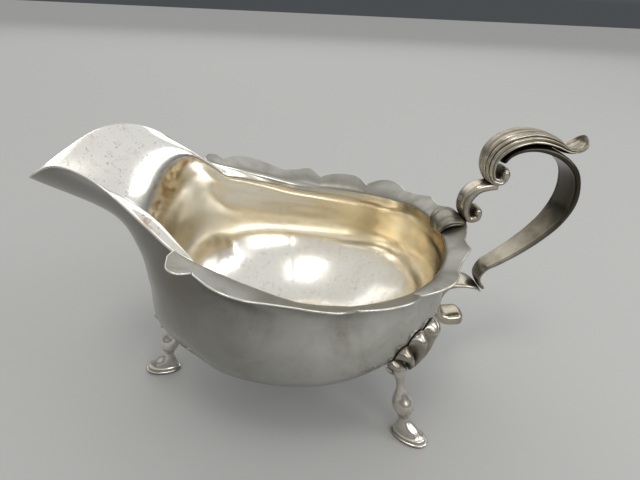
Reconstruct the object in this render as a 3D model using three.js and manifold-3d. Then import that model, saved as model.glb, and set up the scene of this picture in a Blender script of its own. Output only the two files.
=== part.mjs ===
// A small footed sauce boat: a raised bowl with a drawn pouring lip and a cut, lobed rim, three cast
// legs with shell knuckles and hoof feet, and a double-scroll handle built up from cast pieces.
// Millimetres. +Z up, the lip towards -X, the handle towards +X, and the plane y = 0 is the plane of
// symmetry. The origin is on the table, under the middle of the overall length.
import * as THREE from "three";
import { mergeVertices } from "three/addons/utils/BufferGeometryUtils.js";
import Module from "manifold-3d";

const wasm = await Module();
wasm.setup();

// ---- driving dimensions -------------------------------------------------------------------------
const length = 184;              // lip to the back of the handle
const wall = 1.0;                // thickness of the raised silver sheet
const gap = 0.3;                 // solder line kept open between neighbouring pieces
const lipX = -length / 2;        // foremost point of the pouring lip
const waistX = -8;               // station where the bowl is widest
const sternX = 43.5;             // rim at the handle end
const halfBeam = 44;             // half width of the bowl at the bend of the rim
const bottomZ = 16.5;            // underside clearance of the bowl
const lipZ = 84;                 // height of the lip's tip

const degree = Math.PI / 180;
const mix = (a, b, t) => a + (b - a) * t;

// A smooth value through hand-placed [position, value] pairs.
function smooth(points, at) {
  const last = points.length - 1;
  const x = THREE.MathUtils.clamp(at, points[0][0], points[last][0]);
  let i = 0;
  while (i < last - 1 && x > points[i + 1][0]) i += 1;
  const slope = (k) => {
    const a = points[Math.max(k - 1, 0)];
    const b = points[Math.min(k + 1, last)];
    return (b[1] - a[1]) / (b[0] - a[0]);
  };
  const [x0, y0] = points[i];
  const [x1, y1] = points[i + 1];
  const w = x1 - x0;
  const t = (x - x0) / w;
  const h = t * t * (3 - 2 * t);
  return mix(y0, y1, h) + w * (t * (1 - t) ** 2 * slope(i) - t * t * (1 - t) * slope(i + 1));
}

// ---- the bowl's lines ---------------------------------------------------------------------------
// Each line runs from the middle of the bottom up to the bend of the rim, as [reach, height].
const bowLine = [
  [waistX, bottomZ], [-34, 18], [-51, 25], [-58, 36], [-58.5, 50], [-61, 61.5], [-69, 73], [lipX, lipZ],
];
const sideLine = [
  [0, bottomZ], [21, 18], [36, 26], [44.5, 36], [46, 46], [44, 55], [43.2, 59], [halfBeam, 62.5],
];
const sternLine = [
  [waistX, bottomZ], [15, 18.5], [30, 26], [41, 35], [45.5, 44], [45, 54], [43.5, 60], [sternX, 65],
];
// Height of the spout's edge, and behind it of the bend of the rim, along the boat.
const sheer = [
  [lipX, lipZ], [-85, 89], [-77, 93.5], [-71, 94.5], [-65, 93.5], [-59, 90.5], [-50, 83], [-42.5, 76.5],
  [-33, 72.5], [-22, 68.5], [-8, 64], [5, 62.3], [20, 62], [34, 63], [sternX, 65],
];
const rimLevel = sideLine.length - 1;
const bowFullness = [[0, 2], [4, 2.15], [5, 2.0], [6, 1.7], [rimLevel, 1.5]];
const sternFullness = [[0, 2], [4, 2], [rimLevel, 2.3]];

function alongLine(line, level) {
  const reach = smooth(line.map((point, i) => [i, point[0]]), level);
  const height = smooth(line.map((point, i) => [i, point[1]]), level);
  return [reach, height];
}

// Middle of the sheet. Angle 0 is the lip, pi is the handle; level 0 is the bottom, rimLevel the bend.
function bowlPoint(angle, level) {
  const c = Math.abs(Math.cos(angle));
  const s = Math.abs(Math.sin(angle));
  const forward = Math.cos(angle) > 0;
  const line = forward ? bowLine : sternLine;
  const [reach, endZ] = alongLine(line, level);
  const [half, sideZ] = alongLine(sideLine, level);
  const fullness = forward ? bowFullness : sternFullness;
  const power = 2 / smooth(fullness, level);
  const rimPower = 2 / smooth(fullness, rimLevel);
  const [rimReach, rimEndZ] = line[rimLevel];
  const rimZ = smooth(sheer, waistX + (rimReach - waistX) * c ** rimPower);
  const sideShare = (sideZ - bottomZ) / (sideLine[rimLevel][1] - bottomZ);
  const endShare = (endZ - bottomZ) / (rimEndZ - bottomZ);
  const share = mix(sideShare, endShare, c * c);
  return new THREE.Vector3(
    waistX + (reach - waistX) * c ** power,
    Math.sign(Math.sin(angle)) * half * s ** power,
    bottomZ + share * (rimZ - bottomZ),
  );
}

// ---- solids from point nets ---------------------------------------------------------------------
// A closed mesh from shared points and polygons.
function closedGeometry(points, polygons) {
  const geometry = new THREE.BufferGeometry();
  const index = [];
  for (const polygon of polygons) {
    for (let i = 1; i < polygon.length - 1; i += 1) index.push(polygon[0], polygon[i], polygon[i + 1]);
  }
  const numbers = points.flatMap((p) => [p.x, p.y, p.z]);
  geometry.setAttribute("position", new THREE.Float32BufferAttribute(numbers, 3));
  geometry.setIndex(index);
  return geometry;
}

// Moves every point of an open surface along its own normal, weighted by the faces round it.
function offset(points, polygons, distance) {
  const normals = points.map(() => new THREE.Vector3());
  for (const polygon of polygons) {
    const [a, b, c, d] = [0, 1, 2, polygon.length - 1].map((i) => points[polygon[i]]);
    const normal = c.clone().sub(a).cross(d.clone().sub(b));
    for (const i of polygon) normals[i].add(normal);
  }
  return points.map((p, i) => p.clone().addScaledVector(normals[i].normalize(), distance));
}

// Thickens an open surface by `inside` and `outside` and walls up its free edges.
function thicken(points, polygons, inside, outside) {
  const count = points.length;
  const faces = polygons.map((polygon) => [...polygon]);
  const uses = new Map();
  for (const polygon of polygons) {
    faces.push(polygon.map((i) => i + count).reverse());
    polygon.forEach((from, k) => uses.set(`${from},${polygon[(k + 1) % polygon.length]}`, true));
  }
  for (const key of uses.keys()) {
    const [from, to] = key.split(",").map(Number);
    if (!uses.has(`${to},${from}`)) faces.push([to, from, from + count, to + count]);
  }
  return closedGeometry([...offset(points, polygons, outside), ...offset(points, polygons, -inside)], faces);
}

// Skins a row of closed sections, each a list of points in the same order, and closes both ends.
function skin(sections) {
  const size = sections[0].length;
  const points = sections.flat();
  const faces = [];
  for (let s = 0; s < sections.length - 1; s += 1) {
    for (let i = 0; i < size; i += 1) {
      const j = (i + 1) % size;
      faces.push([s * size + i, s * size + j, (s + 1) * size + j, (s + 1) * size + i]);
    }
  }
  const capStart = points.length;
  const middle = (ring) => ring.reduce((sum, p) => sum.add(p), new THREE.Vector3()).divideScalar(ring.length);
  points.push(middle(sections[0]), middle(sections[sections.length - 1]));
  for (let i = 0; i < size; i += 1) {
    const j = (i + 1) % size;
    const end = (sections.length - 1) * size;
    faces.push([capStart, j, i], [capStart + 1, end + i, end + j]);
  }
  return closedGeometry(points, faces);
}

// ---- bowl ---------------------------------------------------------------------------------------
// The flange is cut into lobes. Each lobe runs from one angle to the next, with its widths between.
const lobes = [
  { from: 58.8, to: 64.2, steps: 6, widths: [3, 7.2, 8.4, 7.8, 5.0] },
  { from: 64.2, to: 101.4, steps: 12, widths: [5.5, 9.6, 9.8, 7.4, 6.0, 7.0, 8.4, 4.6] },
  { from: 101.4, to: 123.9, steps: 7, widths: [5.4, 7.2, 7.8, 7.0, 3.4] },
  { from: 123.9, to: 143.9, steps: 7, widths: [4.6, 7.2, 8.2, 7.4, 5.4] },
  { from: 143.9, to: 158.9, steps: 5, widths: [5.4, 5.4, 7.0] },
  { from: 158.9, to: 166.7, steps: 4, widths: [7.0, 6.0, 5.6] },
  { from: 166.7, to: 180, steps: 4, widths: [5.6, 7.6, 9.0] },
];
// Rise of the flange for each millimetre of its width, from the lip side round to the handle.
const flangeSlope = [[58, 0.1], [66, 0.3], [75, 0.38], [88, 0.6], [130, 0.6], [180, 0.45]];
const flangeRoll = 1.3;            // how roundly the flange turns out of the wall
const flangeRows = 3;
const spoutSteps = 10;
const bodyRows = 9;
const rowCrowding = 0.9;         // below 1 the rows of points are closer together near the rim

// Angles of the bowl's stations from lip to handle, with the flange width where there is a flange.
function stations() {
  const list = [];
  for (let i = 0; i < spoutSteps; i += 1) {
    list.push({ angle: lobes[0].from * degree * (i / spoutSteps), width: null });
  }
  for (const lobe of lobes) {
    const knots = lobe.widths.map((width, k) => [k / (lobe.widths.length - 1), width]);
    for (let i = lobe === lobes[0] ? 0 : 1; i <= lobe.steps; i += 1) {
      const t = i / lobe.steps;
      list.push({ angle: mix(lobe.from, lobe.to, t) * degree, width: smooth(knots, t) });
    }
  }
  return list;
}

function flangePoint(angle, width, share) {
  const step = 0.01;
  const bend = bowlPoint(angle, rimLevel);
  const along = bowlPoint(angle + step, rimLevel).sub(bowlPoint(angle - step, rimLevel));
  const outward = new THREE.Vector3(-along.y, along.x, 0).normalize();
  const facing = Math.min(angle, 2 * Math.PI - angle) / degree;
  const rise = width * smooth(flangeSlope, facing);
  bend.addScaledVector(outward, width * share ** flangeRoll);
  return bend.add(new THREE.Vector3(0, 0, rise * share ** (1 / flangeRoll)));
}

// The middle surface of the whole sheet, as shared points and polygons facing outwards.
function bowlSheet() {
  const half = stations();
  const mirror = ({ angle, width }) => ({ angle: 2 * Math.PI - angle, width });
  const ring = [...half, ...half.slice(1, -1).reverse().map(mirror)];
  const points = [bowlPoint(0, 0)];
  const rows = [];
  for (let r = 1; r <= bodyRows; r += 1) {
    const level = rimLevel * (r / bodyRows) ** rowCrowding;
    rows.push(ring.map(({ angle }) => points.push(bowlPoint(angle, level)) - 1));
  }
  for (let f = 1; f <= flangeRows; f += 1) {
    const share = f / flangeRows;
    rows.push(ring.map(({ angle, width }) => (
      width === null ? null : points.push(flangePoint(angle, width, share)) - 1
    )));
  }
  const polygons = ring.map((_, i) => [0, rows[0][i], rows[0][(i + 1) % ring.length]]);
  const rimRow = rows[bodyRows - 1];
  for (let r = 0; r < rows.length - 1; r += 1) {
    for (let i = 0; i < ring.length; i += 1) {
      const j = (i + 1) % ring.length;
      const quad = [rows[r][i], rows[r + 1][i], rows[r + 1][j], rows[r][j]];
      if (quad.every((k) => k !== null)) polygons.push(quad);
    }
  }
  const hullPoints = rimRow[rimRow.length - 1] + 1;
  const hullPolygons = polygons.filter((polygon) => polygon.every((i) => i < hullPoints));
  return { points, polygons, hullPoints, hullPolygons, rimRow };
}

// ---- cutting pieces to fit ----------------------------------------------------------------------
function toManifold(geometry) {
  const bare = new THREE.BufferGeometry();
  bare.setAttribute("position", geometry.attributes.position);
  bare.setIndex(geometry.index);
  const weldDistance = 1e-4;
  const merged = mergeVertices(bare, weldDistance);
  return new wasm.Manifold(new wasm.Mesh({
    numProp: 3,
    vertProperties: new Float32Array(merged.attributes.position.array),
    triVerts: new Uint32Array(merged.index.array),
  }));
}

function cutAway(geometry, ...cutters) {
  let solid = toManifold(geometry);
  for (const cutter of cutters) solid = solid.subtract(toManifold(cutter));
  const mesh = solid.getMesh();
  const result = new THREE.BufferGeometry();
  result.setAttribute("position", new THREE.BufferAttribute(new Float32Array(mesh.vertProperties), 3));
  result.setIndex(new THREE.BufferAttribute(new Uint32Array(mesh.triVerts), 1));
  return result;
}

// The sheet with the solder line added on both sides, for fitting what sits on it.
function sheetClearance() {
  const { points, polygons } = bowlSheet();
  return thicken(points, polygons, wall / 2 + gap, wall / 2 + gap);
}

// The bowl below its rim as a filled block, with the solder line added, for fitting what hangs on it.
function hullClearance() {
  const { points, polygons, hullPoints, hullPolygons, rimRow } = bowlSheet();
  const outer = offset(points, polygons, wall / 2 + gap).slice(0, hullPoints);
  const lid = outer.push(new THREE.Vector3(waistX, 0, lipZ)) - 1;
  const faces = hullPolygons.map((polygon) => [...polygon]);
  rimRow.forEach((i, k) => faces.push([i, lid, rimRow[(k + 1) % rimRow.length]]));
  return closedGeometry(outer, faces);
}

// ---- handle -------------------------------------------------------------------------------------
// One side of a bar's cross-section, which is a circle at fullness 2 and squarer above it.
const barFullness = 2.6;
const squared = (value) => Math.sign(value) * Math.abs(value) ** (2 / barFullness);

// A bar bent along a path in the plane of symmetry. The path is [x, z] pairs. Breadth (across the
// boat) and depth (in the plane) are [share of the path, size] pairs. Reeds ridge its outer side.
function scroll({ path, breadth, depth, steps, reeds = 0, reedHeight = 0, sides = 12, grow = 0 }) {
  const centreLine = path.map(([x, z]) => new THREE.Vector3(x, 0, z));
  const curve = new THREE.CatmullRomCurve3(centreLine, false, "centripetal");
  const sections = [];
  for (let s = 0; s <= steps; s += 1) {
    const share = s / steps;
    const centre = curve.getPointAt(share);
    const tangent = curve.getTangentAt(share);
    const out = new THREE.Vector3(-tangent.z, 0, tangent.x);
    const halfBreadth = smooth(breadth, share) / 2 + grow;
    const halfDepth = smooth(depth, share) / 2 + grow;
    const fade = Math.sqrt(Math.sin(Math.PI * share));
    const ring = [];
    for (let k = 0; k < sides; k += 1) {
      const turn = (2 * Math.PI * k) / sides;
      const across = squared(Math.cos(turn));
      const up = squared(Math.sin(turn));
      const ridge = up >= 0 ? reedHeight * Math.abs(Math.sin(reeds * turn)) * fade : 0;
      ring.push(centre.clone()
        .addScaledVector(out, up * (halfDepth + ridge))
        .add(new THREE.Vector3(0, across * (halfBreadth + ridge), 0)));
    }
    sections.push(ring);
  }
  return skin(sections);
}

const scrollFoot = {
  path: [
    [55.4, 74.2], [56.9, 72.6], [56.2, 70.2], [53.6, 69.8], [51.7, 72.4], [51.7, 77], [54.4, 80.6],
    [58.2, 81.8], [61.6, 82],
  ],
  breadth: [[0, 4.4], [0.5, 6.4], [1, 6]],
  depth: [[0, 1.6], [0.25, 3], [0.55, 4.2], [1, 3]],
  steps: 20,
};
const thumbScroll = {
  path: [
    [62.2, 88.2], [63.4, 86.2], [61.8, 84.2], [58.8, 85], [57, 88.6], [57.6, 93.4], [61.4, 97.3],
    [66.6, 99.2], [72, 99.1], [78, 97.5], [82.6, 95.5], [86.2, 95.4], [88.8, 97.4], [89.2, 100],
  ],
  breadth: [[0, 5], [0.2, 8], [0.5, 10.4], [0.72, 8.4], [0.88, 9.4], [1, 6]],
  depth: [[0, 1.6], [0.14, 3.2], [0.35, 5], [0.5, 4.2], [0.7, 3.2], [0.85, 2], [1, 1.2]],
  steps: 32,
  reeds: 4,
  reedHeight: 0.7,
  sides: 24,
};
const loop = {
  path: [
    [61.2, 90.4], [62.6, 93], [66, 95.2], [71, 96], [77, 94.9], [82.6, 92.2], [86.8, 88], [88.9, 82],
    [88.9, 76], [86, 68.4], [80.8, 61.8], [74.6, 56], [68.6, 51.4], [64.4, 48.4], [62.8, 44.4], [64.2, 40.6],
    [66.4, 38.4],
  ],
  breadth: [[0, 6], [0.12, 8.6], [0.3, 11.4], [0.45, 13], [0.62, 11], [0.85, 8], [1, 5]],
  depth: [[0, 1.6], [0.2, 2.2], [0.4, 2.8], [0.8, 2.4], [1, 1.4]],
  steps: 40,
};
const lowerScroll = {
  path: [
    [65.2, 37.2], [62.7, 39.8], [59, 41.5], [54.4, 42], [50.4, 41], [47.8, 37], [47.6, 31],
    [49.4, 26.8], [53, 24.6], [57.2, 24.5], [60.6, 24.9],
  ],
  breadth: [[0, 3], [0.1, 8], [0.2, 10.6], [0.5, 9.4], [0.85, 9.6], [0.95, 9.6], [1, 7]],
  depth: [[0, 1], [0.25, 2.2], [0.45, 4.4], [0.7, 3.8], [0.86, 5.8], [0.94, 6], [1, 2.6]],
  steps: 26,
};

// The block under the handle: a low dome on the flange with a small tab down inside the rim.
const rimSocket = {
  path: [[42.2, 64.2], [43, 67.4], [45.2, 69.2], [48.4, 69.6], [51, 69.3]],
  breadth: [[0, 7], [0.3, 11.6], [0.8, 12.4], [1, 11]],
  depth: [[0, 1.4], [0.3, 2.8], [0.6, 3.2], [1, 1.8]],
  steps: 12,
  sides: 16,
};

// ---- legs ---------------------------------------------------------------------------------------
// A cabriole leg down to a hoof, standing over its own origin with its toe towards +X. Each station
// is [height, outward shift, half depth, half width].
const legStations = [
  [0, 2.9, 6.5, 4.1], [1.1, 2.9, 6.8, 4.3], [1.5, 2.8, 6.1, 3.8], [2.5, 2.7, 5.9, 3.7],
  [3.1, 2.3, 5.3, 3.3], [5.0, 1.5, 4.0, 2.8], [7.2, 0.4, 2.4, 2.1], [9.0, -0.4, 1.9, 1.8],
  [11, -0.7, 2.8, 2.6], [13.4, -1.0, 3.8, 3.6], [15.9, -1.5, 3.8, 3.5], [18.5, -2.2, 2.7, 2.5],
  [21.2, -2.9, 1.8, 1.7], [24, -3.6, 1.5, 1.5], [27, -4.4, 1.7, 1.7], [34, -6.0, 2.0, 2.0],
];
const legSides = 14;

function leg(grow = 0) {
  return skin(legStations.map(([height, shift, depth, width]) => {
    const ring = [];
    for (let k = 0; k < legSides; k += 1) {
      const turn = (2 * Math.PI * k) / legSides;
      ring.push(new THREE.Vector3(
        shift + (depth + grow) * Math.cos(turn),
        (width + grow) * Math.sin(turn),
        height,
      ));
    }
    return ring;
  }));
}

// Where each leg stands, the way its toe points, where its knuckle is rooted on the bowl, how far the
// knuckle leans towards the handle, and how far it reaches.
const rearLeg = { x: 29, y: 36.5, toe: 36, angle: 137, level: 2.75, lean: 14, reach: 20.5 };
const frontLeg = { x: -58.8, y: 0, toe: 180, angle: 0, level: 2.1, lean: 0, reach: 14 };

// ---- shell knuckles -----------------------------------------------------------------------------
// A point over the bowl: `across` and `up` are millimetres along the sheet from the fan's root, and
// `height` is how far it stands off the sheet.
function onBowl(angle, rootLevel, across, up, height) {
  const step = 0.01;
  const root = bowlPoint(angle, rootLevel);
  const beside = bowlPoint(angle + step, rootLevel + 1);
  const turn = beside.distanceTo(bowlPoint(angle, rootLevel + 1)) / step;
  const rise = bowlPoint(angle, rootLevel + step).distanceTo(root) / step;
  const a = angle + across / turn;
  const level = rootLevel + up / rise;
  const alongAngle = bowlPoint(a + step, level).sub(bowlPoint(a - step, level));
  const alongLevel = bowlPoint(a, level + step).sub(bowlPoint(a, level - step));
  const outward = alongLevel.cross(alongAngle).normalize();
  return bowlPoint(a, level).addScaledVector(outward, wall / 2 + gap + height);
}

// The fan opens from its root by `spread` degrees to either side. Its middle flute is the longest. It
// stands `rootRelief` off the bowl at the root and `tipRelief` at the tips, and less in the valleys.
const fan = {
  flutes: 7, spread: 92, root: 1.8, rootRelief: 6.0, tipRelief: 2.6, edgeRelief: 0.6,
  sideLength: 0.5, valleyLength: 0.93, valleyRelief: 0.65, rows: 6, stepsPerFlute: 4, reliefFall: 1.4,
};

function shellKnuckle({ angle, level, lean, reach }) {
  const columns = fan.flutes * fan.stepsPerFlute;
  const outside = [];
  const inside = [];
  for (let r = 0; r <= fan.rows; r += 1) {
    const share = r / fan.rows;
    for (let c = 0; c <= columns; c += 1) {
      const side = (2 * c) / columns - 1;
      const onEdge = share === 1 || Math.abs(side) === 1;
      const flute = Math.abs(Math.sin((Math.PI * c) / fan.stepsPerFlute));
      const bearing = side * fan.spread * degree;
      const tip = reach * mix(fan.sideLength, 1, Math.cos(bearing)) * mix(fan.valleyLength, 1, flute);
      const radius = mix(fan.root, tip, share);
      const heading = bearing + lean * degree;
      const across = radius * Math.sin(heading);
      const up = radius * Math.cos(heading) - fan.root;
      const fall = share ** fan.reliefFall;
      const relief = mix(fan.rootRelief, fan.tipRelief, fall) * mix(fan.valleyRelief, 1, flute);
      outside.push(onBowl(angle * degree, level, across, up, onEdge ? relief * fan.edgeRelief : relief));
      inside.push(onBowl(angle * degree, level, across, up, 0));
    }
  }
  const width = columns + 1;
  const count = outside.length;
  const faces = [];
  for (let r = 0; r < fan.rows; r += 1) {
    for (let c = 0; c < columns; c += 1) {
      const quad = [r * width + c, r * width + c + 1, (r + 1) * width + c + 1, (r + 1) * width + c];
      faces.push([...quad].reverse(), quad.map((i) => i + count));
    }
  }
  const edge = [];
  for (let c = 0; c < columns; c += 1) edge.push(c);
  for (let r = 0; r < fan.rows; r += 1) edge.push(r * width + columns);
  for (let c = columns; c > 0; c -= 1) edge.push(fan.rows * width + c);
  for (let r = fan.rows; r > 0; r -= 1) edge.push(r * width);
  edge.forEach((from, k) => {
    const to = edge[(k + 1) % edge.length];
    faces.push([from, to, to + count, from + count]);
  });
  return closedGeometry([...outside, ...inside], faces);
}

// ---- the object ---------------------------------------------------------------------------------
const agedSilver = () => new THREE.MeshStandardMaterial({ color: 0xb9b6ab, roughness: 0.32, metalness: 1 });
const darkSilver = () => new THREE.MeshStandardMaterial({ color: 0x8f8877, roughness: 0.38, metalness: 1 });
const castSilver = () => new THREE.MeshStandardMaterial({ color: 0xa8a292, roughness: 0.3, metalness: 1 });

const sauceBoat = new THREE.Group();

function addPiece(name, geometry, material) {
  const mesh = new THREE.Mesh(geometry, material());
  mesh.name = name;
  sauceBoat.add(mesh);
}

const { points: sheetPoints, polygons: sheetPolygons } = bowlSheet();
const sheetRoom = sheetClearance();
const hullRoom = hullClearance();

addPiece("bowl", thicken(sheetPoints, sheetPolygons, wall / 2, wall / 2), agedSilver);

function addLeg(name, place) {
  const stand = (geometry) => geometry.rotateZ(place.toe * degree).translate(place.x, place.y, 0);
  addPiece(`leg_${name}`, cutAway(stand(leg()), hullRoom), castSilver);
  addPiece(`knuckle_${name}`, cutAway(shellKnuckle(place), stand(leg(gap))), castSilver);
}

addLeg("front", frontLeg);
addLeg("rear_left", rearLeg);
addLeg("rear_right", {
  ...rearLeg, y: -rearLeg.y, toe: -rearLeg.toe, angle: -rearLeg.angle, lean: -rearLeg.lean,
});

const roomFor = (bar) => scroll({ ...bar, grow: gap });
addPiece("rim_socket", cutAway(scroll(rimSocket), sheetRoom, roomFor(scrollFoot)), darkSilver);
addPiece("scroll_foot", cutAway(scroll(scrollFoot), roomFor(thumbScroll), sheetRoom), darkSilver);
addPiece("thumb_scroll", scroll(thumbScroll), darkSilver);
addPiece("handle_loop", cutAway(scroll(loop), roomFor(thumbScroll)), darkSilver);
addPiece("lower_scroll", cutAway(scroll(lowerScroll), roomFor(loop), hullRoom), darkSilver);

// The origin goes on the table under the middle of the whole length.
const middle = new THREE.Box3().setFromObject(sauceBoat).getCenter(new THREE.Vector3());
for (const mesh of sauceBoat.children) mesh.geometry.translate(-middle.x, 0, 0);

export default sauceBoat;
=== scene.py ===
import math

import bmesh
import bpy
import numpy as np
from mathutils import Matrix, Vector


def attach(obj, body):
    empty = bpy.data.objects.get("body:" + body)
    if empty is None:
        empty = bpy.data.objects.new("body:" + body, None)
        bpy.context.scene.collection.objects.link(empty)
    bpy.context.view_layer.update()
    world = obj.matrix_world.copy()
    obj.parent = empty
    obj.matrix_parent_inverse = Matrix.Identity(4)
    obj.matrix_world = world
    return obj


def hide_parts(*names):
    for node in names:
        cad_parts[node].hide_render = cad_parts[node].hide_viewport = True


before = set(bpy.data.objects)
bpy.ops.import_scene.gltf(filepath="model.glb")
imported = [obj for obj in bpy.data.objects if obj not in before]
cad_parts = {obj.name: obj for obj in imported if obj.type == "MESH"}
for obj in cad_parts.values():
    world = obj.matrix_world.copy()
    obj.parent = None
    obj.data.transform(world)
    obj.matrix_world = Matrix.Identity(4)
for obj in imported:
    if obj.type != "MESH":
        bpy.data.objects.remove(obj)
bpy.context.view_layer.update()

MM = 0.001
CENTRING = 0.829          # moves the shape's own origin under the middle of its length
LENGTH = 184.0            # nominal length, which sets how far forward the lip reaches
WALL = 1.0                # thickness of the raised sheet
SOLDER = 0.3              # line kept open between neighbouring pieces
LIP_X = -LENGTH / 2
WAIST_X = -8.0            # station where the bowl is widest
STERN_X = 43.5            # rim at the handle end
HALF_BEAM = 44.0
BOTTOM_Z = 16.5
LIP_Z = 84.0
STEP = 0.01               # small difference in angle or level for taking slopes on the bowl


# ---- curves --------------------------------------------------------------------------------------
def smooth(knots, at):
    """A smooth value through given (position, value) pairs, for one position or an array."""
    x, y = np.array(knots, float).T
    at = np.clip(np.asarray(at, float), x[0], x[-1])
    i = np.clip(np.searchsorted(x, at, side="right") - 1, 0, len(x) - 2)
    before = np.maximum(np.arange(len(x)) - 1, 0)
    after = np.minimum(np.arange(len(x)) + 1, len(x) - 1)
    slope = (y[after] - y[before]) / (x[after] - x[before])
    w = x[i + 1] - x[i]
    t = (at - x[i]) / w
    h = t * t * (3 - 2 * t)
    bend = t * (1 - t) ** 2 * slope[i] - t * t * (1 - t) * slope[i + 1]
    return y[i] + (y[i + 1] - y[i]) * h + w * bend


def mix(a, b, t):
    return a + (b - a) * t


def path_points(path, count, steps_per_span=60):
    """Evenly spaced points and directions along a centripetal curve through (x, z) pairs."""
    p = np.array(path, float)
    p = np.vstack([2 * p[0] - p[1], p, 2 * p[-1] - p[-2]])
    pieces = []
    for k in range(1, len(p) - 2):
        p0, p1, p2, p3 = p[k - 1:k + 3]
        d0, d1, d2 = (math.sqrt(np.linalg.norm(b - a)) for a, b in ((p0, p1), (p1, p2), (p2, p3)))
        t1 = ((p1 - p0) / d0 - (p2 - p0) / (d0 + d1) + (p2 - p1) / d1) * d1
        t2 = ((p2 - p1) / d1 - (p3 - p1) / (d1 + d2) + (p3 - p2) / d2) * d1
        t = np.linspace(0, 1, steps_per_span, endpoint=False)[:, None]
        square = 3 * (p2 - p1) - 2 * t1 - t2
        cube = 2 * (p1 - p2) + t1 + t2
        pieces.append(p1 + t1 * t + square * t ** 2 + cube * t ** 3)
    line = np.vstack(pieces + [p[-2:-1]])
    run = np.concatenate([[0], np.cumsum(np.linalg.norm(np.diff(line, axis=0), axis=1))])
    share = np.linspace(0, 1, count)
    points = np.stack([np.interp(share * run[-1], run, line[:, a]) for a in (0, 1)], axis=1)
    tangent = np.gradient(points, axis=0)
    return share, points, tangent / np.linalg.norm(tangent, axis=1)[:, None], run[-1]


# ---- the bowl's lines ----------------------------------------------------------------------------
# Each line runs from the middle of the bottom up to the bend of the rim, as (reach, height).
BOW_LINE = [
    (WAIST_X, BOTTOM_Z), (-34, 18), (-51, 25), (-58, 36), (-58.5, 50), (-61, 61.5), (-69, 73),
    (LIP_X, LIP_Z),
]
SIDE_LINE = [
    (0, BOTTOM_Z), (21, 18), (36, 26), (44.5, 36), (46, 46), (44, 55), (43.2, 59), (HALF_BEAM, 62.5),
]
STERN_LINE = [
    (WAIST_X, BOTTOM_Z), (15, 18.5), (30, 26), (41, 35), (45.5, 44), (45, 54), (43.5, 60), (STERN_X, 65),
]
# Height of the spout's edge, and behind it of the bend of the rim, along the boat.
SHEER = [
    (LIP_X, LIP_Z), (-85, 89), (-77, 93.5), (-71, 94.5), (-65, 93.5), (-59, 90.5), (-50, 83),
    (-42.5, 76.5), (-33, 72.5), (-22, 68.5), (-8, 64), (5, 62.3), (20, 62), (34, 63), (STERN_X, 65),
]
RIM = len(SIDE_LINE) - 1
BOW_FULLNESS = [(0, 2), (4, 2.15), (5, 2.0), (6, 1.7), (RIM, 1.5)]
STERN_FULLNESS = [(0, 2), (4, 2), (RIM, 2.3)]


def along(line, level):
    levels = range(len(line))
    reach = smooth(list(zip(levels, [p[0] for p in line])), level)
    height = smooth(list(zip(levels, [p[1] for p in line])), level)
    return reach, height


def bowl_point(angle, level):
    """Middle of the sheet. Angle 0 is the lip, pi the handle; level 0 is the bottom, RIM the bend."""
    angle, level = np.broadcast_arrays(np.asarray(angle, float), np.asarray(level, float))
    c, s = np.abs(np.cos(angle)), np.abs(np.sin(angle))
    forward = np.cos(angle) > 0
    bow, stern, side = along(BOW_LINE, level), along(STERN_LINE, level), along(SIDE_LINE, level)
    reach, end_z = (np.where(forward, bow[k], stern[k]) for k in (0, 1))
    power = 2 / np.where(forward, smooth(BOW_FULLNESS, level), smooth(STERN_FULLNESS, level))
    rim_power = 2 / np.where(forward, smooth(BOW_FULLNESS, RIM), smooth(STERN_FULLNESS, RIM))
    rim_reach = np.where(forward, LIP_X, STERN_X)
    rim_end_z = np.where(forward, LIP_Z, STERN_LINE[RIM][1])
    rim_z = smooth(SHEER, WAIST_X + (rim_reach - WAIST_X) * c ** rim_power)
    side_share = (side[1] - BOTTOM_Z) / (SIDE_LINE[RIM][1] - BOTTOM_Z)
    end_share = (end_z - BOTTOM_Z) / (rim_end_z - BOTTOM_Z)
    share = mix(side_share, end_share, c * c)
    return np.stack([
        WAIST_X + (reach - WAIST_X) * c ** power,
        np.sign(np.sin(angle)) * side[0] * s ** power,
        BOTTOM_Z + share * (rim_z - BOTTOM_Z),
    ], axis=-1)


# The flange is cut into lobes: (from, to, facets, widths along it), angles in degrees from the lip.
LOBES = [
    (58.8, 64.2, 36, (3, 7.2, 8.4, 7.8, 5.0)),
    (64.2, 101.4, 90, (5.5, 9.6, 9.8, 7.4, 6.0, 7.0, 8.4, 4.6)),
    (101.4, 123.9, 54, (5.4, 7.2, 7.8, 7.0, 3.4)),
    (123.9, 143.9, 50, (4.6, 7.2, 8.2, 7.4, 5.4)),
    (143.9, 158.9, 40, (5.4, 5.4, 7.0)),
    (158.9, 166.7, 30, (7.0, 6.0, 5.6)),
    (166.7, 180.0, 36, (5.6, 7.6, 9.0)),
]
FLANGE_SLOPE = [(58, 0.1), (66, 0.3), (75, 0.38), (88, 0.6), (130, 0.6), (180, 0.45)]
FLANGE_ROLL = 1.3         # how roundly the flange turns out of the wall
EDGE_THINNING = 0.42      # share of the sheet's thickness that is filed away at its free edge
FLANGE_ROWS = 12
SPOUT_STEPS = 70
BODY_ROWS = 60
ROW_CROWDING = 0.9        # below 1 the rows of points are closer together near the rim


def flange_points(angle, width, share):
    bend = bowl_point(angle, RIM)
    line = bowl_point(angle + STEP, RIM) - bowl_point(angle - STEP, RIM)
    outward = np.stack([-line[:, 1], line[:, 0], 0 * angle], axis=1)
    outward /= np.linalg.norm(outward, axis=1)[:, None]
    facing = np.degrees(np.minimum(angle, 2 * math.pi - angle))
    rise = width * smooth(FLANGE_SLOPE, facing) * share ** (1 / FLANGE_ROLL)
    return bend + outward * (width * share ** FLANGE_ROLL)[:, None] + rise[:, None] * np.array([0, 0, 1.0])


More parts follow.
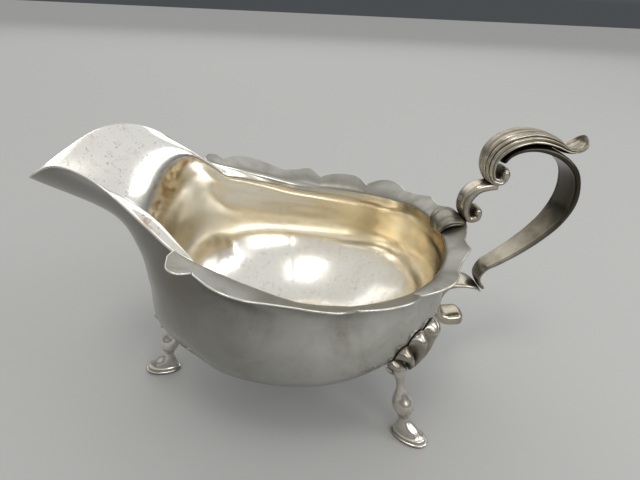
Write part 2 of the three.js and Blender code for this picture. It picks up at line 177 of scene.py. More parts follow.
def bowl_sheet():
    """The sheet's middle: (x, y, z, thickness) points, outward faces, and which faces are flange."""
    angle = list(np.radians(LOBES[0][0]) * np.arange(SPOUT_STEPS) / SPOUT_STEPS)
    width = [0.0] * SPOUT_STEPS
    for k, (start, end, facets, widths) in enumerate(LOBES):
        t = np.arange(0 if k == 0 else 1, facets + 1) / facets
        knots = list(zip(np.linspace(0, 1, len(widths)), widths))
        angle += list(np.radians(mix(start, end, t)))
        width += list(smooth(knots, t))
    angle = np.array(angle + [2 * math.pi - a for a in angle[-2:0:-1]])
    width = np.array(width + width[-2:0:-1])
    ring = len(angle)
    levels = RIM * (np.arange(1, BODY_ROWS + 1) / BODY_ROWS) ** ROW_CROWDING
    shares = np.arange(1, FLANGE_ROWS + 1) / FLANGE_ROWS
    rows = [bowl_point(angle, level) for level in levels]
    rows += [flange_points(angle, width, np.full(ring, share)) for share in shares]
    # The sheet is filed thinner towards the free edge of the spout and of the flange.
    thinning = [np.where(width > 0, 0, np.clip(level - RIM + 1, 0, 1)) for level in levels]
    thinning += [np.full(ring, share) for share in shares]
    thickness = np.concatenate([[WALL]] + [WALL * (1 - EDGE_THINNING * thin) for thin in thinning])
    points = np.column_stack([np.vstack([bowl_point(0, 0)[None]] + rows), thickness])
    index = 1 + np.arange(len(rows) * ring).reshape(len(rows), ring)
    faces = [[0, index[0, i], index[0, (i + 1) % ring]] for i in range(ring)]
    flange = [False] * ring
    for r in range(len(rows) - 1):
        for i in range(ring):
            j = (i + 1) % ring
            if r < BODY_ROWS - 1 or (width[i] > 0 and width[j] > 0):
                faces.append([index[r, i], index[r + 1, i], index[r + 1, j], index[r, j]])
                flange.append(r >= BODY_ROWS - 1)
    return points, faces, flange


# ---- meshes --------------------------------------------------------------------------------------
def tidy(points, faces):
    """Drops points that no face uses."""
    used = sorted({i for face in faces for i in face})
    place = {old: new for new, old in enumerate(used)}
    return points[used], [[place[i] for i in face] for face in faces]


def vertex_normals(points, faces):
    normals = np.zeros_like(points)
    for face in faces:
        a, b, c, d = (points[face[k]] for k in (0, 1, 2, len(face) - 1))
        normals[face] += np.cross(c - a, d - b)
    return normals / np.linalg.norm(normals, axis=1)[:, None]


def thick_sheet(points, faces, flange, rounds=5):
    """A closed sheet round an open middle. Faces are 0 outside, 1 inside, 2 edge, 3 flange top."""
    points, faces = tidy(points, faces)
    half = points[:, 3:] / 2
    points = points[:, :3]
    normals = vertex_normals(points, faces)
    edges = {(a, b) for face in faces for a, b in zip(face, face[1:] + face[:1])}
    free = [(a, b) for a, b in edges if (b, a) not in edges]
    following = dict(free)
    leading = {b: a for a, b in free}
    count = len(points)
    made = [points + normals * half, points - normals * half]
    out_faces = [list(face) for face in faces]
    side = [0] * len(faces)
    out_faces += [[i + count for i in face][::-1] for face in faces]
    side += [3 if is_flange else 1 for is_flange in flange]
    rim = list(following)
    tangent = np.array([points[following[i]] - points[leading[i]] for i in rim])
    away = np.cross(tangent, normals[rim])
    away /= np.linalg.norm(away, axis=1)[:, None]
    start = {}
    for k, i in enumerate(rim):
        start[i] = [i] + [2 * count + k * rounds + r for r in range(rounds)] + [i + count]
    turns = np.pi * np.arange(1, rounds + 1) / (rounds + 1)
    round_half = half[rim][:, None]
    arcs = (points[rim][:, None] + normals[rim][:, None] * round_half * np.cos(turns)[None, :, None]
            + away[:, None] * round_half * np.sin(turns)[None, :, None])
    made.append(arcs.reshape(-1, 3))
    for a, b in free:
        for r in range(rounds + 1):
            out_faces.append([start[b][r], start[a][r], start[a][r + 1], start[b][r + 1]])
            side.append(2)
    return np.vstack(made), out_faces, side


def skin(sections):
    """Skins a stack of closed sections (count, sides, 3) and closes both ends with a fan."""
    count, sides, _ = sections.shape
    faces = []
    for s in range(count - 1):
        for i in range(sides):
            j = (i + 1) % sides
            faces.append([s * sides + i, s * sides + j, (s + 1) * sides + j, (s + 1) * sides + i])
    end = (count - 1) * sides
    middle = count * sides
    for i in range(sides):
        j = (i + 1) % sides
        faces.append([middle, j, i])
        faces.append([middle + 1, end + i, end + j])
    points = np.vstack([sections.reshape(-1, 3), sections[0].mean(0)[None], sections[-1].mean(0)[None]])
    return points, faces


# Edges that fold by less than this many degrees are shaded smooth.
CREASE = 42
SOFT_CREASE = 60


def add_piece(name, points, faces, materials, node, sides=None, crease=CREASE):
    mesh = bpy.data.meshes.new(name)
    placed = (np.asarray(points) + np.array([CENTRING, 0, 0])) * MM
    mesh.from_pydata(placed.tolist(), [], [[int(i) for i in face] for face in faces])
    for material in materials:
        mesh.materials.append(material)
    if sides is not None:
        mesh.polygons.foreach_set("material_index", sides)
    piece = bpy.data.objects.new(name, mesh)
    bpy.context.scene.collection.objects.link(piece)
    work = bmesh.new()
    work.from_mesh(mesh)
    bmesh.ops.recalc_face_normals(work, faces=work.faces)
    for face in work.faces:
        face.smooth = True
    for edge in work.edges:
        edge.smooth = edge.is_manifold and edge.calc_face_angle(0) < math.radians(crease)
    work.to_mesh(mesh)
    work.free()
    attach(piece, "root")
    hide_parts(node)
    return piece


# ---- handle pieces -------------------------------------------------------------------------------
REED_SHARPNESS = 0.7      # below 1 the reeds are rounder and the valleys between them sharper
REED_LIMIT = -0.35        # how far round the flanks the reeds go, from 1 outside to -1 inside
BORDER_AT = 0.86          # place of the raised border, as a share of the half breadth
BORDER_WIDTH = 0.1
END_CLIP = 0.98           # keeps a rounded end from closing to a point


def squared(value, fullness=2.6):
    return np.sign(value) * np.abs(value) ** (2 / fullness)


def bar(path, breadth, depth, steps, sides, reeds=0, reed_height=0.0, cup=((0, 0), (1, 0)),
        border=0.0, round_start=0.0, round_end=0.0):
    """A bar bent along a path in the plane of symmetry, reeded outside and rounded at its ends."""
    share, centre, tangent, run = path_points(path, steps)
    half_breadth = smooth(breadth, share) / 2
    half_depth = smooth(depth, share) / 2
    ends = np.ones(steps)
    if round_start:
        ends *= np.sqrt(1 - np.clip(1 - share * run / round_start, 0, END_CLIP) ** 2)
    if round_end:
        ends *= np.sqrt(1 - np.clip(1 - (1 - share) * run / round_end, 0, END_CLIP) ** 2)
    turn = 2 * math.pi * np.arange(sides) / sides
    across = squared(np.cos(turn))
    up = squared(np.sin(turn))
    fade = np.sqrt(np.clip(np.sin(math.pi * share), 0, 1))
    # Reeds run along the outer side and the two flanks, with sharp valleys between them.
    ridge = reed_height * np.abs(np.sin(reeds * turn)) ** REED_SHARPNESS * (up > REED_LIMIT)
    lift = up[None] * (half_depth[:, None] + ridge[None] * fade[:, None])
    lift += smooth(cup, share)[:, None] * (across ** 2 - 0.5)[None]
    edge = np.exp(-((np.abs(across) - BORDER_AT) / BORDER_WIDTH) ** 2) * np.sign(up)
    lift += border * edge[None] * fade[:, None]
    lift *= ends[:, None]
    wide = (half_breadth[:, None] + ridge[None] * fade[:, None]) * across[None] * ends[:, None]
    x = centre[:, :1] - tangent[:, 1:] * lift
    z = centre[:, 1:] + tangent[:, :1] * lift
    return skin(np.stack([x, wide, z], axis=2))


RIM_SOCKET = dict(
    path=[(42.2, 64.2), (43, 67.4), (45.2, 69.2), (48.4, 69.6), (51.2, 68.9)],
    breadth=[(0, 7), (0.3, 11.6), (0.8, 12.4), (1, 11)],
    depth=[(0, 1.2), (0.3, 2.4), (0.6, 2.8), (1, 1.6)],
    steps=60, sides=64, reeds=3, reed_height=0.5, round_start=1.0, round_end=1.0,
)
SCROLL_FOOT = dict(
    path=[
        (54.7, 72.6), (56.2, 72.2), (56.1, 70.2), (53.6, 69.8), (51.7, 72.4), (51.7, 77), (54.4, 80.6),
        (58.2, 81.8), (61.6, 82),
    ],
    breadth=[(0, 7.4), (0.1, 7.0), (0.5, 6.6), (1, 6)],
    depth=[(0, 3.6), (0.1, 2.8), (0.25, 3), (0.55, 4.2), (1, 3)],
    steps=120, sides=48, reeds=2, reed_height=0.35, round_start=0.8, round_end=0.6,
)
THUMB_SCROLL = dict(
    path=[
        (60.9, 87.3), (62.4, 86.8), (61.6, 84.6), (58.8, 85), (57, 88.6), (57.6, 93.4), (61.4, 97.3),
        (66.6, 99.2), (72, 99.1), (78, 97.5), (82.6, 95.5), (86.2, 95.4), (88.8, 97.4), (89.2, 100),
    ],
    breadth=[(0, 8.4), (0.05, 8.2), (0.2, 8), (0.5, 10), (0.72, 7.6), (0.88, 9.4), (1, 7)],
    depth=[(0, 4.4), (0.04, 3.8), (0.14, 3.2), (0.35, 5), (0.5, 4.2), (0.7, 3.2), (0.85, 1.6), (1, 1.2)],
    cup=[(0, 0), (0.7, 0), (0.86, 1.0), (1, 1.2)],
    steps=220, sides=144, reeds=6, reed_height=0.62, round_start=0.9, round_end=3.2,
)
LOOP = dict(
    path=[
        (61.2, 90.4), (62.6, 93), (66, 95.2), (71, 96), (77, 94.9), (82.6, 92.2), (86.8, 88), (88.9, 82),
        (88.9, 76), (86, 68.4), (80.8, 61.8), (74.6, 56), (68.6, 51.4), (64.4, 48.4), (62.8, 44.4),
        (64.2, 40.6), (66.4, 38.4),
    ],
    breadth=[(0, 6), (0.12, 8.6), (0.3, 11.4), (0.45, 13), (0.62, 11), (0.85, 8), (1, 5)],
    depth=[(0, 1.6), (0.2, 2.2), (0.4, 2.4), (0.8, 2.1), (1, 1.4)],
    steps=240, sides=64, border=0.22, round_start=0.8, round_end=0.7,
)
LOWER_SCROLL = dict(
    path=[
        (65.2, 37.2), (62.7, 39.8), (59, 41.5), (54.4, 42), (50.4, 41), (47.8, 37), (47.6, 31),
        (49.4, 26.8), (53, 24.6), (57.2, 24.5), (60.6, 24.9),
    ],
    breadth=[(0, 4.6), (0.08, 9), (0.2, 11), (0.5, 9.4), (0.85, 9.8), (1, 9.8)],
    depth=[(0, 0.8), (0.25, 2.2), (0.45, 4.4), (0.7, 3.6), (0.86, 5.8), (1, 6.0)],
    steps=160, sides=48, border=0.12, round_start=0.6, round_end=2.8,
)


# ---- legs ----------------------------------------------------------------------------------------
# Stations of a cabriole leg over its own origin, with its toe towards +X, as (height, shift, half
# depth, half width).
SOLE = [
    (0, 2.9, 6.2, 3.7), (0.12, 2.9, 6.55, 4.05), (0.35, 2.9, 6.7, 4.2), (0.95, 2.9, 6.8, 4.3),
    (1.15, 2.9, 6.7, 4.2), (1.28, 2.85, 6.45, 3.95), (1.34, 2.8, 6.15, 3.75), (1.5, 2.8, 6.1, 3.7),
    (2.3, 2.7, 6.0, 3.72), (2.5, 2.7, 5.9, 3.65), (2.62, 2.65, 5.7, 3.5), (2.7, 2.5, 5.5, 3.35),
]
SHAFT = [
    (2.7, 2.5, 5.5, 3.35), (3.2, 2.2, 5.1, 3.15), (5.0, 1.5, 4.0, 2.8), (7.2, 0.4, 2.4, 2.1),
    (9.0, -0.4, 1.9, 1.8), (11, -0.7, 2.8, 2.6), (13.4, -1.0, 3.8, 3.6), (15.9, -1.5, 3.8, 3.5),
    (18.5, -2.2, 2.7, 2.5), (21.2, -2.9, 1.8, 1.7), (24, -3.6, 1.5, 1.5), (28, -4.6, 2.2, 2.2),
    (34, -6.0, 3.0, 3.0),
]
HOOF_HEIGHT = 8.0
HEEL_NARROWING = 0.16     # share of its width that the hoof loses at the heel
WIDEST_LEVEL = 3.6        # the legs meet the bowl below this level
SHEET_REACH = 1.2         # a point of a leg further than this from the bowl's plan isn't trimmed
# Where each leg stands, its toe's bearing, where its knuckle is rooted, its lean and its reach.
REAR = dict(x=29, y=36.5, toe=36, angle=137, level=2.75, lean=14, reach=20.5)
FRONT = dict(x=-58.8, y=0, toe=180, angle=0, level=2.1, lean=0, reach=14)


def sheet_height(x, y):
    """Height of the middle of the bowl's sheet above points (x, y), on its under side."""
    levels = np.linspace(0.05, WIDEST_LEVEL, 72)
    angles = np.linspace(0, math.pi, 181)
    net = bowl_point(angles[:, None], levels[None])
    net = net.reshape(-1, 3)
    gap = (net[None, :, 0] - np.asarray(x)[:, None]) ** 2 + (net[None, :, 1] - np.abs(y)[:, None]) ** 2
    nearest = np.argmin(gap, axis=1)
    far = np.sqrt(gap[np.arange(len(nearest)), nearest]) > SHEET_REACH
    return np.where(far, SHAFT[-1][0], net[nearest, 2])


def leg(place, sides=64, rows=90):
    heights = np.linspace(SHAFT[0][0], SHAFT[-1][0], rows)[1:]
    stations = [list(station) for station in SOLE]
    columns = [[(s[0], s[k]) for s in SHAFT] for k in (1, 2, 3)]
    stations += np.stack([heights] + [smooth(column, heights) for column in columns], axis=1).tolist()
    stations = np.array(stations)
    turn = 2 * math.pi * np.arange(sides) / sides
    low = np.clip(1 - stations[:, 0] / HOOF_HEIGHT, 0, 1)
    # The hoof narrows towards the heel.
    heel = 1 - HEEL_NARROWING * low[:, None] * (1 - np.cos(turn)) / 2
    x = stations[:, 1, None] + stations[:, 2, None] * np.cos(turn)
    y = stations[:, 3, None] * np.sin(turn) * heel
    z = np.broadcast_to(stations[:, 0, None], x.shape)
    bearing = math.radians(place["toe"])
    turned = np.stack([
        place["x"] + x * math.cos(bearing) - y * math.sin(bearing),
        place["y"] + x * math.sin(bearing) + y * math.cos(bearing),
        z,
    ], axis=2)
    # The stem ends under the shell, in the middle of the bowl's sheet.
    tall = turned.reshape(-1, 3)
    room = sheet_height(tall[:, 0], tall[:, 1])
    tall[:, 2] = np.minimum(tall[:, 2], room)
    return skin(turned)


# ---- shell knuckles ------------------------------------------------------------------------------
# The fan opens by `spread` degrees to either side. Lengths and reliefs of the valleys are shares of
# the flutes'. A swell raises each flute near its tip. The relief falls away over the last share
# towards the tips (`brink`) and towards the sides (`edge`).
FAN = dict(
    flutes=7, spread=92, curl=0.2, root=1.8, root_relief=6.0, tip_relief=2.7, relief_fall=1.2,
    side_length=0.5, valley_length=0.84, lobe_roundness=0.7, valley_root=0.5, valley_tip=0.12,
    flute_sharpness=1.5, swell=0.5, swell_at=0.82, swell_width=0.15, brink=0.22, edge=0.05,
    least_relief=0.15, rows=44, columns=18,
)
COLLAR = dict(
    half_width=8.6, low=-3.8, lift=2.8, stand=4.4, tip_stand=0.6, thick=1.5, tip_thick=0.15,
    flatness=0.7,
)


def on_bowl(angle, root_level, across, up, height):
    """Points over the bowl, `across` and `up` mm along the sheet from a root and `height` off it."""
    root = bowl_point(angle, root_level)
    above = bowl_point(angle, root_level + 1)
    turn = np.linalg.norm(bowl_point(angle + STEP, root_level + 1) - above) / STEP
    rise = np.linalg.norm(bowl_point(angle, root_level + STEP) - root) / STEP
    a = angle + across / turn
    level = root_level + up / rise
    along_angle = bowl_point(a + STEP, level) - bowl_point(a - STEP, level)
    along_level = bowl_point(a, level + STEP) - bowl_point(a, level - STEP)
    outward = np.cross(along_level, along_angle)
    outward /= np.linalg.norm(outward, axis=-1)[..., None]
    return bowl_point(a, level) + outward * (WALL / 2 + SOLDER + height)[..., None]


def shell(place):
    """A fluted fan lying on the bowl. Its flutes curl away to both sides and end in round lobes."""
    columns = FAN["flutes"] * FAN["columns"]
    rows = FAN["rows"]
    share = (np.arange(rows + 1) / rows)[:, None]
    column = np.arange(columns + 1)[None]
    side = 2 * column / columns - 1
    flute = np.abs(np.sin(math.pi * column / FAN["columns"]))
    bearing = side * math.radians(FAN["spread"])
    lobe = mix(FAN["valley_length"], 1, flute ** FAN["lobe_roundness"])
    reach = mix(FAN["side_length"], 1, np.cos(bearing)) * place["reach"] * lobe
    radius = mix(FAN["root"], reach, share)
    heading = bearing * (1 - FAN["curl"] * (1 - share ** 2)) + math.radians(place["lean"])
    relief = mix(FAN["root_relief"], FAN["tip_relief"], share ** FAN["relief_fall"])
    valley = mix(FAN["valley_root"], FAN["valley_tip"], share)
    relief = relief * mix(valley, 1, flute ** FAN["flute_sharpness"])
    relief += FAN["swell"] * flute * np.exp(-((share - FAN["swell_at"]) / FAN["swell_width"]) ** 2)
    brink = np.clip((1 - share) / FAN["brink"], 0, 1)
    relief = relief * np.sqrt(1 - (1 - brink) ** 2 * 0.96)
    edge = np.clip((1 - np.abs(side)) / FAN["edge"], 0, 1)
    relief = np.maximum(relief * np.sqrt(1 - (1 - edge) ** 2 * 0.9), FAN["least_relief"])
    across = radius * np.sin(heading)
    up = radius * np.cos(heading) - FAN["root"]
    angle = math.radians(place["angle"])
    outer = on_bowl(angle, place["level"], across, up, relief)
    inner = on_bowl(angle, place["level"], across, up, 0 * relief)
    wide = columns + 1
    count = (rows + 1) * wide
    faces = []
    for r in range(rows):
        for c in range(columns):
            quad = [r * wide + c, r * wide + c + 1, (r + 1) * wide + c + 1, (r + 1) * wide + c]
            faces.append(quad[::-1])
            faces.append([i + count for i in quad])
    edge_line = list(range(columns)) + [r * wide + columns for r in range(rows)]
    edge_line += [rows * wide + c for c in range(columns, 0, -1)] + [r * wide for r in range(rows, 0, -1)]
    for a, b in zip(edge_line, edge_line[1:] + edge_line[:1]):
        faces.append([a, b, b + count, a + count])
    return np.vstack([outer.reshape(-1, 3), inner.reshape(-1, 3)]), faces


def collar(place, steps=48, sides=20):
    """A crescent wrapped round the stem below the shell, with a pointed tip on each side."""
    scale = place["reach"] / REAR["reach"]
    t = np.linspace(-1, 1, steps)
    across = COLLAR["half_width"] * t * scale
    up = (COLLAR["low"] + COLLAR["lift"] * t * t) * scale
    height = (COLLAR["stand"] * (1 - t * t) + COLLAR["tip_stand"]) * scale
    angle = math.radians(place["angle"])
    line = on_bowl(angle, place["level"], across, up, height)
    outward = on_bowl(angle, place["level"], across, up, height + 1) - line
    tangent = np.gradient(line, axis=0)
    tangent /= np.linalg.norm(tangent, axis=1)[:, None]
    aside = np.cross(tangent, outward)
    thick = (COLLAR["thick"] * np.sqrt(1 - t * t) + COLLAR["tip_thick"]) * scale
    turn = 2 * math.pi * np.arange(sides) / sides
    ring = outward[:, None] * np.cos(turn)[None, :, None] * COLLAR["flatness"]
    ring = ring + aside[:, None] * np.sin(turn)[None, :, None]
    return skin(line[:, None] + ring * thick[:, None, None])


# ---- materials -----------------------------------------------------------------------------------
class Nodes:
    """A short way to write a material's node tree."""

    def __init__(self, name):
        self.material = bpy.data.materials.new(name)
        self.material.use_nodes = True
        self.tree = self.material.node_tree
        self.tree.nodes.clear()
        self.output = self.tree.nodes.new("ShaderNodeOutputMaterial")
        self.shader = self.tree.nodes.new("ShaderNodeBsdfPrincipled")
        self.tree.links.new(self.shader.outputs[0], self.output.inputs[0])
        self.place = self.tree.nodes.new("ShaderNodeTexCoord").outputs["Object"]

    def add(self, kind, inputs=None, **settings):
        node = self.tree.nodes.new(kind)
        for key, value in settings.items():
            setattr(node, key, value)
        for key, value in (inputs or {}).items():
            self.put(node.inputs[key], value)
        return node

    def put(self, socket, value):
        if isinstance(value, bpy.types.NodeSocket):
            self.tree.links.new(value, socket)
        else:
            socket.default_value = value

    def math(self, operation, a, b=0.0, clamp=False):
        node = self.add("ShaderNodeMath", {0: a, 1: b}, operation=operation, use_clamp=clamp)
        return node.outputs[0]

    def stretched(self, scale):
        return self.add("ShaderNodeMapping", {"Vector": self.place, "Scale": scale}).outputs[0]

    def noise(self, scale, detail=4.0, rough=0.55, at=None, distortion=0.0):
        return self.add("ShaderNodeTexNoise", {
            "Vector": at or self.place, "Scale": scale, "Detail": detail, "Roughness": rough,
            "Distortion": distortion,
        }).outputs[0]

    def ramp(self, value, low, high, start=0.0, end=1.0):
        return self.add("ShaderNodeMapRange", {
            0: value, 1: low, 2: high, 3: start, 4: end,
        }, interpolation_type="SMOOTHSTEP").outputs[0]

    def blend(self, factor, a, b):
        node = self.add("ShaderNodeMix", data_type="RGBA")
        self.put(node.inputs[0], factor)
        self.put(node.inputs[6], a)
        self.put(node.inputs[7], b)
        return node.outputs[2]


BROWN = (0.23, 0.17, 0.10, 1)
BLACKENED = (0.06, 0.05, 0.04, 1)
GILT = (0.64, 0.50, 0.28, 1)
PALE_GILT = (0.70, 0.66, 0.54, 1)
STAIN = (0.40, 0.26, 0.09, 1)
BRASS = (0.72, 0.52, 0.22, 1)


def silver(name, bright, dull, tarnish, rough, recess, scratch=0.02, dents=0.03, grime=BLACKENED):
    """Old polished silver: cloudy tarnish, patina in the hollows, fine scratches and soft dents."""
    n = Nodes(name)
    cloud = n.noise(55, 6, 0.6, distortion=0.6)
    fine = n.noise(420, 5, 0.65)
    hollow = n.add("ShaderNodeAmbientOcclusion", {"Distance": recess}, samples=6).outputs["AO"]
    dirt = n.ramp(hollow, 0.2, 0.9, 1.0, 0.0)
    film = n.math("MULTIPLY", n.ramp(cloud, 0.38, 0.68), tarnish)
    base = n.blend(film, bright, dull)
    base = n.blend(n.math("MULTIPLY", n.ramp(fine, 0.52, 0.72), 0.22), base, BROWN)
    base = n.blend(n.math("MULTIPLY", dirt, 0.9), base, grime)
    n.put(n.shader.inputs["Base Color"], base)
    n.shader.inputs["Metallic"].default_value = 1.0
    polish = n.ramp(cloud, 0.35, 0.7, rough * 0.8, rough * 1.3)
    n.put(n.shader.inputs["Roughness"], n.math("ADD", polish, n.math("MULTIPLY", dirt, 0.25)))
    hair = n.noise(900, 3, 0.7, at=n.stretched((1.0, 0.12, 0.35)))
    soft = n.noise(70, 2, 0.5)
    bump = n.add("ShaderNodeBump", {"Height": hair, "Strength": scratch, "Distance": 0.0004})
    wave = n.add("ShaderNodeBump", {
        "Height": soft, "Strength": dents, "Distance": 0.004, "Normal": bump.outputs[0],
    })
    n.put(n.shader.inputs["Normal"], wave.outputs[0])
    return n, base


def bowl_inside():
    """The bowl's inside: bright at the spout and the floor, worn gilding towards the handle."""
    n, base = silver("bowl_inside", (0.94, 0.92, 0.88, 1), (0.74, 0.71, 0.64, 1), 0.4, 0.19, 0.002,
                     grime=BROWN)
    x = n.add("ShaderNodeSeparateXYZ", {0: n.place})
    edge = n.noise(60, 5, 0.6, distortion=0.4)
    # A stain crosses the neck: a plane that leans back with height, made ragged by noise.
    lean = n.math("ADD", x.outputs[0], n.math("MULTIPLY", x.outputs[2], -0.55))
    lean = n.math("ADD", lean, n.math("MULTIPLY", n.math("SUBTRACT", edge, 0.5), 0.016))
    behind_neck = n.ramp(lean, -0.094, -0.080)
    # The gilding is strongest at the handle end and on the upper wall.
    deeper = n.ramp(x.outputs[0], -0.035, 0.042)
    upper = n.ramp(x.outputs[2], 0.024, 0.050)
    patch = n.ramp(n.noise(38, 4, 0.6, distortion=0.8), 0.35, 0.62)
    depth = n.math("MULTIPLY", deeper, n.math("ADD", n.math("MULTIPLY", upper, 0.75), 0.25))
    uneven = n.math("ADD", n.math("MULTIPLY", patch, 0.5), 0.5)
    tone = n.blend(n.math("MULTIPLY", depth, uneven), PALE_GILT, GILT)
    wall = n.math("ADD", n.math("MULTIPLY", upper, 0.5), 0.12)
    strength = n.math("MULTIPLY", behind_neck, n.math("ADD", n.math("MULTIPLY", depth, 0.5), wall), True)
    base = n.blend(strength, base, tone)
    arc = n.math("SUBTRACT", n.ramp(lean, -0.0985, -0.0955), n.ramp(lean, -0.0945, -0.0905))
    broken = n.ramp(n.noise(240, 3, 0.6), 0.42, 0.6)
    crossing = n.math("MULTIPLY", arc, n.math("MULTIPLY", broken, 0.75), True)
    base = n.blend(crossing, base, STAIN)
    near_neck = n.math("SUBTRACT", n.ramp(lean, -0.150, -0.115), n.ramp(lean, -0.092, -0.080))
    speck = n.ramp(n.noise(1300, 2, 0.5), 0.64, 0.72)
    speck_strength = n.math("ADD", n.math("MULTIPLY", near_neck, 0.45, True), 0.22)
    base = n.blend(n.math("MULTIPLY", speck, speck_strength), base, BROWN)
    n.put(n.shader.inputs["Base Color"], base)
    return n.material


def bowl_outside():
    """The bowl's outside: painted shade darkens it at the bow, low down and under the rim, fading towards
    the handle.
    """
    n, base = silver("bowl_outside", (0.60, 0.60, 0.56, 1), (0.40, 0.39, 0.35, 1), 0.7, 0.22, 0.006)
    x = n.add("ShaderNodeSeparateXYZ", {0: n.place})
    streak = n.noise(34, 5, 0.6, at=n.stretched((1.0, 1.0, 0.35)), distortion=0.7)
    across = n.math("ADD", x.outputs[0], n.math("MULTIPLY", n.math("SUBTRACT", streak, 0.5), 0.03))
    # Painted shade: the bow is darkened, fading out towards the handle along a ragged line.
    base = n.blend(n.ramp(across, -0.045, 0.015, 0.75, 0.0), base, (0.20, 0.20, 0.18, 1))
    # Painted shade: darker towards the bottom.
    base = n.blend(n.ramp(x.outputs[2], 0.017, 0.040, 0.55, 0.0), base, (0.15, 0.15, 0.14, 1))
    # Painted shadow under the rim: the outside darkens towards the top.
    rim_shadow = n.ramp(n.math("ADD", x.outputs[2], n.math("MULTIPLY", streak, 0.02)), 0.060, 0.078)
    base = n.blend(n.math("MULTIPLY", rim_shadow, 0.5), base, (0.13, 0.12, 0.10, 1))
    base = n.blend(n.math("MULTIPLY", n.ramp(streak, 0.5, 0.75), 0.3), base, (0.24, 0.21, 0.15, 1))
    n.put(n.shader.inputs["Base Color"], base)
    return n.material


def cast(name, bright, dull, tarnish, rough, recess, worn_strength=0.4):
    """Cast silver with brassy wear in scattered patches."""
    n, base = silver(name, bright, dull, tarnish, rough, recess, scratch=0.05, dents=0.08)
    worn = n.ramp(n.noise(150, 3, 0.5), 0.62, 0.72)
    base = n.blend(n.math("MULTIPLY", worn, worn_strength), base, BRASS)
    n.put(n.shader.inputs["Base Color"], base)
    return n.material


def strap():
    """The handle's strap: dark silver, with painted shade making it nearly black towards the top; paler
    towards its foot.
    """
    n, base = silver("strap_patina_and_shade", (0.34, 0.31, 0.25, 1), (0.11, 0.09, 0.06, 1), 0.75, 0.22, 0.008,
                     scratch=0.05)
    x = n.add("ShaderNodeSeparateXYZ", {0: n.place})
    # Painted shade: the strap darkens to nearly black towards the top, along a ragged line.
    cloud = n.math("MULTIPLY", n.math("SUBTRACT", n.noise(60, 4, 0.6), 0.5), 0.03)
    height = n.ramp(n.math("ADD", x.outputs[2], cloud), 0.050, 0.078)
    base = n.blend(n.math("MULTIPLY", height, 0.86), base, (0.03, 0.025, 0.017, 1))
    n.put(n.shader.inputs["Base Color"], base)
    return n.material


# ---- building ------------------------------------------------------------------------------------
inside_silver = bowl_inside()
outside_silver = bowl_outside()
# The top of the rim is grey and dull, and the free edge of the sheet is worn bright.
flange_silver = silver("flange_top", (0.30, 0.295, 0.27, 1), (0.20, 0.195, 0.16, 1), 0.8, 0.42, 0.002,
                       scratch=0.06)[0].material
edge_silver = silver("rim_edge", (0.72, 0.70, 0.65, 1), (0.5, 0.48, 0.42, 1), 0.5, 0.24, 0.001)[0].material
leg_silver = cast("leg_silver", (0.76, 0.73, 0.67, 1), (0.34, 0.30, 0.23, 1), 0.7, 0.2, 0.009)
shell_silver = cast("shell_silver", (0.64, 0.61, 0.55, 1), (0.19, 0.16, 0.11, 1), 0.8, 0.21, 0.009)
handle_silver = cast("handle_patina", (0.50, 0.46, 0.385, 1), (0.14, 0.115, 0.075, 1), 0.85, 0.26, 0.008,
                     worn_strength=0.25)
# The socket gets a darker, rougher copy of the handle's silver; its darkness is painted shade.
shaded_socket_silver = cast("shaded_socket_silver", (0.26, 0.245, 0.205, 1), (0.12, 0.105, 0.075, 1), 0.8, 0.4, 0.006,
                     worn_strength=0.2)
strap_silver = strap()

points, faces, sides = thick_sheet(*bowl_sheet())
bowl_materials = [outside_silver, inside_silver, edge_silver, flange_silver]
add_piece("bowl_shell", points, faces, bowl_materials, "bowl", sides, crease=SOFT_CREASE)

for name, place, turn in (("front", FRONT, 1), ("rear_left", REAR, 1), ("rear_right", REAR, -1)):
    here = dict(place, y=place["y"] * turn, toe=place["toe"] * turn, angle=place["angle"] * turn,
                lean=place["lean"] * turn)
    points, faces = leg(here)
    add_piece(f"hoof_leg_{name}", points, faces, [leg_silver], f"leg_{name}")
    for part, make in (("shell", shell), ("collar", collar)):
        points, faces = make(here)
        add_piece(f"{part}_{name}", points, faces, [shell_silver], f"knuckle_{name}",
                  crease=SOFT_CREASE)

for name, shape, node, material in (
    ("socket_block", RIM_SOCKET, "rim_socket", shaded_socket_silver),
    ("foot_volute", SCROLL_FOOT, "scroll_foot", handle_silver),
    ("reeded_cap", THUMB_SCROLL, "thumb_scroll", handle_silver),
    ("loop_strap", LOOP, "handle_loop", strap_silver),
    ("bracket_scroll", LOWER_SCROLL, "lower_scroll", handle_silver),
):
    points, faces = bar(**shape)
    add_piece(name, points, faces, [material], node)


# ---- floor, light and camera ---------------------------------------------------------------------
def floor():
    mesh = bpy.data.meshes.new("floor")
    reach = 3.0
    corners = [(-reach, -reach, 0), (reach, -reach, 0), (reach, reach, 0), (-reach, reach, 0)]
    mesh.from_pydata(corners, [], [[0, 1, 2, 3]])
    piece = bpy.data.objects.new("floor", mesh)
    bpy.context.scene.collection.objects.link(piece)
    n = Nodes("pale_floor")
    n.shader.inputs["Base Color"].default_value = (0.42, 0.42, 0.415, 1)
    n.shader.inputs["Roughness"].default_value = 0.9
    mesh.materials.append(n.material)


def lamp(name, size, power, at, target, colour=(1, 1, 1)):
    light = bpy.data.lights.new(name, "AREA")
    light.shape = "RECTANGLE"
    light.size, light.size_y = size
    light.energy = power
    light.color = colour
    piece = bpy.data.objects.new(name, light)
    piece.location = at
    piece.rotation_mode = "QUATERNION"
    piece.rotation_quaternion = (Vector(target) - Vector(at)).to_track_quat("-Z", "Y")
    bpy.context.scene.collection.objects.link(piece)


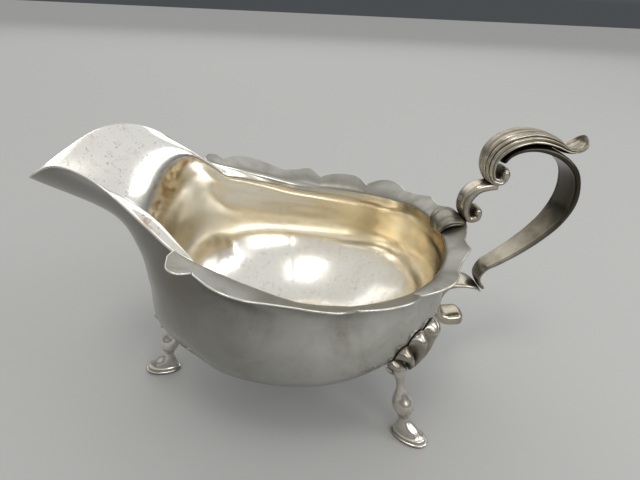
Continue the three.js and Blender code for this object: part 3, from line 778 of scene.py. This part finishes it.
floor()
lamp("back_panel", (2.2, 1.2), 6.0, (0.05, 1.0, 0.80), (0, 0, 0.05), (1.0, 0.99, 0.97))
lamp("front_panel", (0.5, 0.4), 2.2, (0.4, -0.9, 0.5), (0, 0, 0.05))
lamp("right_panel", (0.5, 0.5), 2.0, (0.8, -0.3, 0.55), (0, 0, 0.05))
lamp("top_panel", (0.25, 0.25), 1.4, (-0.1, -0.25, 0.9), (0, 0, 0.05), (1.0, 0.97, 0.92))


def studio():
    """A soft room: light overhead and dimmer towards the horizon."""
    world = bpy.data.worlds.new("studio")
    world.use_nodes = True
    tree = world.node_tree
    place = tree.nodes.new("ShaderNodeTexCoord")
    parts = tree.nodes.new("ShaderNodeSeparateXYZ")
    ramp = tree.nodes.new("ShaderNodeValToRGB")
    tree.links.new(place.outputs["Generated"], parts.inputs[0])
    tree.links.new(parts.outputs[2], ramp.inputs[0])
    ramp.color_ramp.elements[0].position = 0.0
    ramp.color_ramp.elements[0].color = (0.07, 0.075, 0.08, 1)
    ramp.color_ramp.elements[1].position = 0.42
    ramp.color_ramp.elements[1].color = (0.72, 0.72, 0.71, 1)
    tree.links.new(ramp.outputs[0], tree.nodes["Background"].inputs[0])
    bpy.context.scene.world = world


studio()

CAMERA_AT = (-17 + CENTRING, -141.1, 139.4)
CAMERA_LENS = 25.3125
CAMERA_HEADING = -6.96    # degrees from +Y, negative towards +X
CAMERA_DIP = 29.16        # degrees below the horizon
CAMERA_ROLL = 3.0

camera_data = bpy.data.cameras.new("camera")
camera_data.sensor_width = 36
camera_data.lens = CAMERA_LENS
camera_data.clip_start = 0.01
camera_data.clip_end = 20
camera = bpy.data.objects.new("camera", camera_data)
heading = Matrix.Rotation(math.radians(CAMERA_HEADING), 4, "Z")
pitch = Matrix.Rotation(math.radians(90 - CAMERA_DIP), 4, "X")
roll = Matrix.Rotation(math.radians(CAMERA_ROLL), 4, "Z")
camera_place = [value * MM for value in CAMERA_AT]
camera.matrix_world = Matrix.Translation(camera_place) @ heading @ pitch @ roll
bpy.context.scene.collection.objects.link(camera)
bpy.context.scene.camera = camera
bpy.context.scene.view_settings.view_transform = "Standard"
